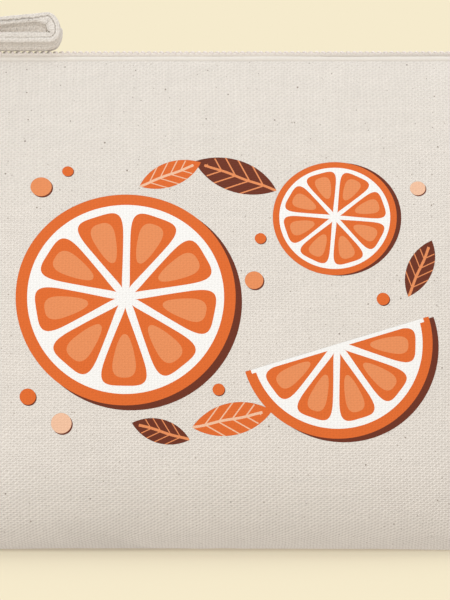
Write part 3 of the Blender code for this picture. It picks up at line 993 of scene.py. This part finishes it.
# ---- The zip's ends --------------------------------------------------------------------
# A short strip of the same canvas is folded over each end of the tapes and sewn down, and
# its sides are caught in the slot. Small metal stops are crimped on the chain's ends.
TAB_FOLD = 103.0 * MM
TAB_FALL = 1.25 * MM  # from the strip's middle to its sides
TAB_LEVEL = COIL_FOOT - 0.9 * MM
TAB_SECTION = (  # from the strip's far end over its fold and back: mm from the fold, mm up
    (19.6, -1.05), (16.0, -0.88), (11.0, -0.58), (7.0, -0.08), (4.2, 0.5), (2.2, 0.95), (0.9, 1.02),
    (0.2, 0.8), (-0.05, 0.35), (0.15, -0.15), (0.8, -0.45), (2.2, -0.7), (5.0, -1.2), (11.0, -1.6),
    (19.6, -1.7),
)
for name, node, hand in (("left_tab", "end_tab_left", -1), ("right_tab", "end_tab_right", 1)):
    rings, shares = [], [k / 8 - 1 for k in range(17)]
    for share in shares:
        ring = []
        for out, up in TAB_SECTION:
            x, slot = TAB_FOLD + out * MM, slot_half(TAB_FOLD + out * MM)
            half = max(slot - 0.5 * MM * min(1.0, slot / (2.5 * MM)), 0.05 * MM)
            fall = TAB_FALL * abs(share) ** 3 * min(1.0, half / (3 * MM))
            uneven = 0.12 * MM * noise.noise(Vector((out / 3, share * 2, hand)))
            ring.append((hand * x, share * half, TAB_LEVEL + up * MM - fall + uneven))
        rings.append(ring)
    tab = lofted(name, rings, [share * 5 * MM for share in shares])
    for loop, flat in zip(tab.data.loops, tab.data.uv_layers["cloth"].data):
        across = tab.data.vertices[loop.vertex_index].co.y
        flat.uv[0] = across  # the weave runs on under the pinched sides
    tab.data.materials.append(canvas_cloth)
    smoother = tab.modifiers.new("smoother", "SUBSURF")
    smoother.levels = smoother.render_levels = 1
    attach(tab, "pouch")
    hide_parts(node)
    tack_x, tack_top = hand * (TAB_FOLD + 2.0 * MM), TAB_LEVEL + 1.05 * MM
    line = [(tack_x, y * MM, tack_top - TAB_FALL * abs(y / 4.2) ** 3) for y in (-3.4, -2, 0, 2, 3.4)]
    tack_sizes = dict(stitch_sizes, **{"Pitch": 1.15 * MM, "Length": 1.0 * MM})
    tack = made_by(stitch_group, name + "_stitches", tack_sizes, polyline(name + "_line", [line]))
    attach(tack, "pouch")

nickel, tree, shader = plain_material("nickel_plate", {"Metallic": 1.0})
place = own_place(tree)
cloudy = noise_sum(tree, place, 500, 4.0) * 0.10 + 0.95
tree.links.new(toned(tree, shade(222, 217, 208), cloudy), shader.inputs["Base Color"])
rubbed = noise_sum(tree, place, 260, 5.0, 0.65)
dull = rubbed.ramp(0.4, 0.75) * 0.16 + 0.2
tree.links.new(dull.socket, shader.inputs["Roughness"])
raised(tree, shader, noise_sum(tree, place, 1600, 2.0), 0.03 * MM, strength=0.25)


def rounded_block(name, low, high, radius):
    """A block with rounded edges between two corners."""
    bm = bmesh.new()
    bmesh.ops.create_cube(bm, size=1.0)
    for vert in bm.verts:
        vert.co = [(a + b) / 2 + part * (b - a) for a, b, part in zip(low, high, vert.co)]
    edges = {"geom": bm.edges[:], "affect": "EDGES", "clamp_overlap": True}
    bmesh.ops.bevel(bm, offset=radius, segments=4, profile=0.5, **edges)
    for face in bm.faces:
        face.smooth = True
    return built(name, bm)


for name, node in (
    ("left_front_stop", "stop_left_front"),
    ("left_back_stop", "stop_left_back"),
    ("right_stop", "stop_right"),
):
    low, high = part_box(node)
    stop = rounded_block(name, low, high, 0.3 * MM)
    stop.data.materials.append(nickel)
    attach(stop, "pouch")
    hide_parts(node)

# ---- The slider ------------------------------------------------------------------------
# Die-cast and nickel-plated: a slightly domed crown wider at the nose, two flanges that
# run along the outside of the coil, and a bridge that holds the pull ring.
slider_low, slider_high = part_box("slider")
SLIDER_X = (slider_low.x + slider_high.x) / 2
SLIDER_HALF = (slider_high.x - slider_low.x) / 2
SKIRT_Z = slider_low.z
PLATE_FOOT = COIL_TOP + 0.3 * MM
PLATE_TOP = PLATE_FOOT + 1.0 * MM
BRIDGE_TOP = slider_high.z
NOSE_HALF, TAIL_HALF = 4.5 * MM, 3.95 * MM
CHANNEL_HALF = 3.3 * MM  # of the room that the coil runs in
SOFT = 0.85 * MM  # how far the crown's edges are rounded


def slider_half(x):
    """Half the crown's width at x along it, from the nose at -1 to the tail at 1."""
    half = NOSE_HALF + (TAIL_HALF - NOSE_HALF) * smooth((x + 0.55) / 0.8)
    nose = max(0.0, (-0.6 - x) / 0.4)
    tail = max(0.0, (x - 0.86) / 0.14)
    half -= 1.05 * MM * nose**1.8 + 0.5 * MM * tail**2
    return half


rings, stations = [], [math.sin(math.pi / 2 * (k / 16 - 1)) for k in range(33)]
for t in stations:
    half = slider_half(t)
    end_fall = 0.38 * MM * max(0.0, (abs(t) - 0.88) / 0.12) ** 2
    top = PLATE_TOP - end_fall
    right = [
        (half - 0.12 * MM, SKIRT_Z), (half, SKIRT_Z + 0.12 * MM), (half, SKIRT_Z + 0.8 * MM),
        (half, top - SOFT - 0.1 * MM), (half - 0.06 * MM, top - SOFT * 0.55),
        (half - SOFT * 0.3, top - SOFT * 0.25), (half - SOFT * 0.75, top - 0.06 * MM),
        (half * 0.62, top + 0.12 * MM), (half * 0.32, top + 0.22 * MM),
    ]
    inner = [
        (CHANNEL_HALF * 0.5, PLATE_FOOT), (CHANNEL_HALF - 0.25 * MM, PLATE_FOOT),
        (CHANNEL_HALF, PLATE_FOOT - 0.25 * MM), (CHANNEL_HALF, SKIRT_Z + 0.12 * MM),
        (CHANNEL_HALF + 0.12 * MM, SKIRT_Z),
    ]
    outline = right + [(0.0, top + 0.25 * MM)] + [(-y, z) for y, z in right[::-1]]
    outline += [(-y, z) for y, z in inner[::-1]] + [(0.0, PLATE_FOOT)] + inner
    rings.append([(SLIDER_X + t * SLIDER_HALF, y, z) for y, z in outline])
crown = lofted("crown", rings, [t * SLIDER_HALF for t in stations])

arch = [  # half of the bridge's bent bar, in mm
    (-2.62, -0.5), (-2.5, 0.6), (-2.36, 1.6), (-2.1, 2.4), (-1.65, 2.95), (-1.0, 3.2), (0.0, 3.28)
]
arch = arch + [(-x, z) for x, z in arch[-2::-1]]
BAR_HALF_WIDTH, BAR_HALF_THICK = 1.0 * MM, 0.42 * MM
ARCH_FOOT = BRIDGE_TOP - BAR_HALF_THICK - 3.28 * MM
bar = blunt_oval(BAR_HALF_WIDTH, BAR_HALF_THICK, 16, 0.55, 0.7)
rings = []
for k, (x, z) in enumerate(arch):
    (xa, za), (xb, zb) = arch[max(k - 1, 0)], arch[min(k + 1, len(arch) - 1)]
    length = math.hypot(xb - xa, zb - za)
    nx, nz = -(zb - za) / length, (xb - xa) / length
    x, z = SLIDER_X + x * MM, ARCH_FOOT + z * MM
    rings.append([(x + nx * out, y, z + nz * out) for y, out in bar])
bridge = lofted("bridge", rings, running([r[0] for r in rings]))
bm = bmesh.new()
bm.from_mesh(crown.data)
bm.from_mesh(bridge.data)
ends = [face for face in bm.faces if len(face.verts) > 4]
held = bm.edges.layers.float.new("crease_edge")
near = 0.01 * MM
for edge in {edge for face in ends for edge in face.edges}:
    if all(abs(v.co.y) < CHANNEL_HALF + near and v.co.z < PLATE_FOOT + near for v in edge.verts):
        edge[held] = 1.0
bmesh.ops.triangulate(bm, faces=ends)  # so that the ends keep the channel open
bm.to_mesh(crown.data)
bm.free()
bpy.data.objects.remove(bridge)
crown.name = "slider_casting"
crown.data.materials.append(nickel)
finer = crown.modifiers.new("finer", "SUBSURF")
finer.levels = finer.render_levels = 1
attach(crown, "slider")
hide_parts("slider")

# ---- The pull ring ---------------------------------------------------------------------
# Bent nickel-plated wire. Its near bar turns under the bridge, and its far bar is held
# inside the strap's folded end.
PIVOT = Vector((SLIDER_X, 0, 145.0 * MM))  # the middle of the bar that turns
WIRE = 0.7 * MM  # radius
RING_LENGTH = 11 * MM
BAR_LIFT = 2.1 * MM
NEAR_HALF, FAR_HALF = 6.2 * MM, 6.9 * MM
BEND = 1.6 * MM  # from a corner to where its bend begins
corners = [
    Vector((0, -NEAR_HALF, 0)), Vector((0, NEAR_HALF, 0)),
    Vector((RING_LENGTH, FAR_HALF, BAR_LIFT)), Vector((RING_LENGTH, -FAR_HALF, BAR_LIFT)),
]
path = []
for k, corner in enumerate(corners):
    before, after = corners[k - 1], corners[(k + 1) % 4]
    enter = corner + (before - corner).normalized() * BEND
    leave = corner + (after - corner).normalized() * BEND
    for step in range(9):
        t = step / 8
        path.append(enter * (1 - t) ** 2 + corner * 2 * t * (1 - t) + leave * t**2)
flat_way = (corners[1] - corners[0]).cross(corners[2] - corners[1]).normalized()
angles = [2 * math.pi * step / 14 for step in range(14)]
rings = []
for k, point in enumerate(path):
    ahead = (path[(k + 1) % len(path)] - path[k - 1]).normalized()
    side_way = ahead.cross(flat_way).normalized()
    round_wire = [side_way * math.cos(a) + flat_way * math.sin(a) for a in angles]
    rings.append([PIVOT + point + out * WIRE for out in round_wire])
ring = lofted("wire_ring", rings, running(path, closed=True), ring_of_rings=True)
ring.data.materials.append(nickel)
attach(ring, "pull")
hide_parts("pull_ring")

# ---- The pull strap --------------------------------------------------------------------
# A strip of the canvas folded along its length, so its open side shows two layers. It goes
# round the ring's bar, is sewn through next to it, and its far end is left as an open loop.
STRAP_WIDTH = 11 * MM
STRAP_THICK = 3.2 * MM
STRAP_LENGTH = 48.2 * MM  # from the ring's pivot to the tip
LOOP_HEIGHT = 9.1 * MM
SEWN_HEIGHT = 6.75 * MM
STRAP_LEAN = math.radians(14)
HALF_THICK = STRAP_THICK / 2
STRAP_STEPS = 320  # sections round the whole loop


def strap_height(x):
    """Outer height of the two runs together at x from the pivot."""
    wrap = 2 * (WIRE + 0.35 * MM + STRAP_THICK)
    height = wrap + (SEWN_HEIGHT - wrap) * smooth((x - RING_LENGTH) / (6 * MM))
    opened = (x - RING_LENGTH - 9 * MM) / (STRAP_LENGTH - 4 * MM - RING_LENGTH - 9 * MM)
    return height + (LOOP_HEIGHT - SEWN_HEIGHT) * min(max(opened, 0.0), 1.0)


def strap_lean(x):
    """How far the strap is turned over on its long axis at x."""
    return STRAP_LEAN * smooth((x - RING_LENGTH - 2 * MM) / (14 * MM))


def strap_middle(x):
    """Height of the line between the two runs, with the underside resting over the coil."""
    lean = strap_lean(x)
    under = COIL_TOP - PIVOT.z + 0.14 * MM + 4.1 * MM * math.tan(lean)
    free = under + strap_height(x) / 2 * math.cos(lean)
    return BAR_LIFT + (free - BAR_LIFT) * smooth((x - RING_LENGTH) / (6 * MM))


def strap_place(x, across, up):
    """A point of the strap: along it, across it and up from its middle line."""
    lean = strap_lean(x)
    y = across * math.cos(lean) + up * math.sin(lean)
    z = strap_middle(x) - across * math.sin(lean) + up * math.cos(lean)
    return PIVOT + Vector((x, y, z))


loop_radius = LOOP_HEIGHT / 2 - HALF_THICK
wrap_radius = strap_height(RING_LENGTH) / 2 - HALF_THICK
loop_x = STRAP_LENGTH - HALF_THICK - loop_radius
centre_line = []
for k in range(71):
    x = RING_LENGTH + (loop_x - RING_LENGTH) * k / 70
    centre_line.append((x, strap_height(x) / 2 - HALF_THICK))
back_line = [(x, -up) for x, up in reversed(centre_line)]
for k in range(1, 24):
    angle = math.pi * (0.5 - k / 24)
    c, r = math.cos(angle), math.sin(angle)
    blunt = 0.85 if r > 0 else 0.62
    centre_line.append((loop_x + loop_radius * (c**blunt - 0.16 * (r + 1) * c), loop_radius * r))
centre_line += back_line
for k in range(1, 20):
    angle = math.pi * (-0.5 - k / 20)
    centre_line.append((RING_LENGTH + wrap_radius * math.cos(angle), wrap_radius * math.sin(angle)))
lengths = running([Vector((x, up)) for x, up in centre_line], closed=True)
even = []
for k in range(STRAP_STEPS):
    target, i = lengths[-1] * k / STRAP_STEPS, 0
    while lengths[i + 1] < target:
        i += 1
    share = (target - lengths[i]) / (lengths[i + 1] - lengths[i])
    a, b = Vector(centre_line[i]), Vector(centre_line[(i + 1) % len(centre_line)])
    even.append(a.lerp(b, share))


def wave(length, size, seed):
    """Unevenness along the strap, of that size in mm, that meets itself round the loop."""
    turn = 2 * math.pi * length / lengths[-1]
    reach = lengths[-1] / (2 * math.pi * size * MM)
    return noise.noise(Vector((math.cos(turn) * reach, math.sin(turn) * reach, seed)))


def strap_section(length, x, up):
    """The folded strip's section there: across from the far fold to the open side, and out."""

    def short_of(past, over):
        """1 along the runs, falling to 0 over so many mm before that far past the loop's middle."""
        return smooth((loop_x + past * MM - x) / (over * MM))

    def frayed(much, size, seed, little, fine_seed):
        return much * wave(length, size, seed) + little * wave(length, 0.8, fine_seed)

    above = 1.0 if up > 0 else 0.0
    past_sewing = smooth((x - RING_LENGTH - 9 * MM) / (6 * MM))
    rest = 0.8 * (1 - above) * past_sewing * short_of(4.6, 3.4) * (1 + 0.75 * short_of(2.6, 3))
    thinner = 0.65 * above * past_sewing * short_of(2, 5)
    room = (strap_height(x) - 2 * STRAP_THICK) / MM + thinner
    fall = 0.93 * max(room, 0.0) * above * past_sewing * short_of(2.5, 1.8)
    corner = 0.7 * smooth((x - loop_x + 3.5 * MM) / (3.5 * MM))
    corner *= smooth(1.1 + up / loop_radius) if up < 0 else 1.0
    gape = 0.25 + 0.35 * above * short_of(0, 5) * smooth((x - 5 * MM) / (4 * MM))
    half = STRAP_WIDTH / 2 / MM
    outer_edge = half - 0.25 + frayed(0.32, 3.2, 1, 0.16, 2)
    inner_edge = half - 0.35 + frayed(0.34, 2.6, 3, 0.16, 4)
    split = 0.1 + 0.14 * above + frayed(0.22, 2.2, 5, 0.14, 9)
    mouth = (0.14 + 0.12 * wave(length, 1.6, 6)) * gape
    tuck = 0.05 + 0.15 * gape
    puff = 0.10 * wave(length, 5, 7)
    top = HALF_THICK / MM + puff
    foot = -HALF_THICK / MM + puff * 0.5 + thinner - corner
    layer = top - split
    outline = (
        (4.2, split), (2.0, split + 0.02), (-2.5, split + 0.02),
        (-inner_edge + 1.5, split + mouth * 0.4), (-outer_edge + 0.35 + tuck, split + mouth * 0.75),
        (-outer_edge + tuck, split + mouth), (-outer_edge + 0.02, split + layer * 0.32),
        (-outer_edge, split + layer * 0.55), (-outer_edge + 0.1, split + layer * 0.8),
        (-outer_edge + 0.42, top - 0.08), (-outer_edge + 0.95, top),
        (-3.8, top + 0.03 * rest), (-3.2, top + 0.15 * rest), (-2.6, top + 0.42 * rest),
        (-2.1, top + 0.75 * rest), (-1.6, top + rest), (-0.8, top + 0.97 * rest),
        (0.3, top + 0.8 * rest), (1.4, top + 0.58 * rest), (2.9, top + 0.2 * rest),
        (half - 1.0, top - 0.04), (half - 0.42, top - 0.3), (half - 0.1, top - 0.8), (half, 0.0),
        (half - 0.1, foot + 0.8), (half - 0.42, foot + 0.3), (half - 1.0, foot + 0.04),
        (2.6, foot - 0.5 * fall), (1.0, foot - 0.85 * fall), (-0.4, foot - 0.98 * fall),
        (-1.3, foot - fall), (-1.8, foot - 0.93 * fall), (-2.2, foot - 0.74 * fall),
        (-2.55, foot - 0.46 * fall), (-3.0, foot - 0.2 * fall), (-3.6, foot - 0.05 * fall),
        (-inner_edge + 1.0, foot), (-inner_edge + 0.42, foot + 0.08),
        (-inner_edge + 0.1, foot + 0.35), (-inner_edge, foot + 0.75),
        (-inner_edge + 0.04, split - mouth - 0.2), (-inner_edge + 0.04 + tuck, split - mouth * 0.9),
        (-inner_edge + 0.5 + tuck, split - mouth * 0.6), (-inner_edge + 1.6, split - mouth * 0.3),
        (-2.5, split - 0.04), (2.0, split - 0.04), (4.2, split - 0.02),
    )
    return [(across * MM, out * MM) for across, out in outline]


rings = []
strap_steps = [lengths[-1] * k / STRAP_STEPS for k in range(STRAP_STEPS + 1)]
for k, point in enumerate(even):
    ahead = (even[(k + 1) % STRAP_STEPS] - even[k - 1]).normalized()
    outward = Vector((-ahead.y, ahead.x))
    ring = []
    for across, out in strap_section(strap_steps[k], point.x, point.y):
        x, up = point + outward * out
        ring.append(strap_place(x, across, up))
    rings.append(ring)
section = [Vector(p) for p in strap_section(0.0, RING_LENGTH, HALF_THICK)]
girth = running(section, closed=True)
strap = lofted("canvas_strap", rings, strap_steps, girth, ring_of_rings=True)
strap.data.materials.append(canvas_cloth)
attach(strap, "pull")
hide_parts("pull_strap")
strap_stitches = []
for x in (RING_LENGTH + 6.6 * MM, RING_LENGTH + 8.0 * MM):
    for up in (1, -1):
        line = [
            strap_place(x, across * MM, up * (strap_height(x) / 2 + 0.06 * MM))
            for across in (-4.6, -3, -1.5, 0, 1.5, 3, 4.6)
        ]
        strap_stitches.append(line)
tack_sizes.update({"Pitch": 1.45 * MM, "Length": 1.25 * MM, "Thread Radius": 0.2 * MM})
strap_lines = polyline("strap_lines", strap_stitches)
strap_tack = made_by(stitch_group, "strap_stitches", tack_sizes, strap_lines)
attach(strap_tack, "pull")

# ---- Floor, light and camera -----------------------------------------------------------
# A wide seamless floor and a plain wall of light, both pale cream. Soft white light comes
# from all round, with one large soft lamp in front and another behind. The floor glows too:
# it lights the pouch from below, and a fainter glow lightens the shadows seen on it.
SIGHT = Vector((0, 0, 0.08))  # what the lamps point at


def seen_apart(tree, lighting, shown, end):
    """One shader for how it lights other things, and one for how it looks itself."""
    sight = tree.nodes.new("ShaderNodeLightPath").outputs["Is Camera Ray"]
    both = {0: sight, 1: lighting.outputs[0], 2: shown.outputs[0]}
    choose = fed(tree, "ShaderNodeMixShader", both)
    tree.links.new(choose.outputs[0], end)


floor_mesh = bpy.data.meshes.new("floor")
floor_mesh.from_pydata([(-30, -30, 0), (30, -30, 0), (30, 30, 0), (-30, 30, 0)], [], [(0, 1, 2, 3)])
floor = in_scene("floor", floor_mesh)
# Painted light: the floor's own glow, faint where it is seen and stronger in the light it gives.
glowing_floor, tree, shader = plain_material("glowing_floor", {
    "Base Color": (0.672, 0.588, 0.393, 1), "Roughness": 1.0, "Specular IOR Level": 0.0,
    "Emission Color": (0.130, 0.135, 0.145, 1), "Emission Strength": 1.0,
})
fill = fed(tree, "ShaderNodeEmission", {"Color": (1.0, 0.95, 0.89, 1), "Strength": 0.80})
seen_apart(tree, fill, shader, tree.nodes["Material Output"].inputs["Surface"])
floor_mesh.materials.append(glowing_floor)

world = bpy.data.worlds.new("studio")
bpy.context.scene.world = world
world.use_nodes = True
tree = world.node_tree
lighting = tree.nodes["Background"]
lighting.inputs["Color"].default_value = (1.0, 1.0, 1.0, 1)
lighting.inputs["Strength"].default_value = 0.8
wall = fed(tree, "ShaderNodeBackground", {"Color": shade(246, 235, 205)})
seen_apart(tree, lighting, wall, tree.nodes["World Output"].inputs["Surface"])

for name, place, strength, spread in (
    ("front_lamp", (-0.8, -1.7, 1.1), 0.84, 40), ("back_lamp", (0.2, 1.3, 1.35), 1.15, 50)
):
    lamp = in_scene(name, bpy.data.lights.new(name, "SUN"))
    lamp.data.energy = strength
    lamp.data.angle = math.radians(spread)
    lamp.location = place
    lamp.rotation_euler = (SIGHT - lamp.location).to_track_quat("-Z", "Y").to_euler()

camera = in_scene("camera", bpy.data.cameras.new("camera"))
bpy.context.scene.camera = camera
camera.data.sensor_width = 36
camera.data.lens = 524
camera.data.clip_end = 100
camera.location = (0, -2.5, 0.0709)
camera.rotation_euler = (math.radians(90), 0, 0)
bpy.context.scene.view_settings.view_transform = "Standard"
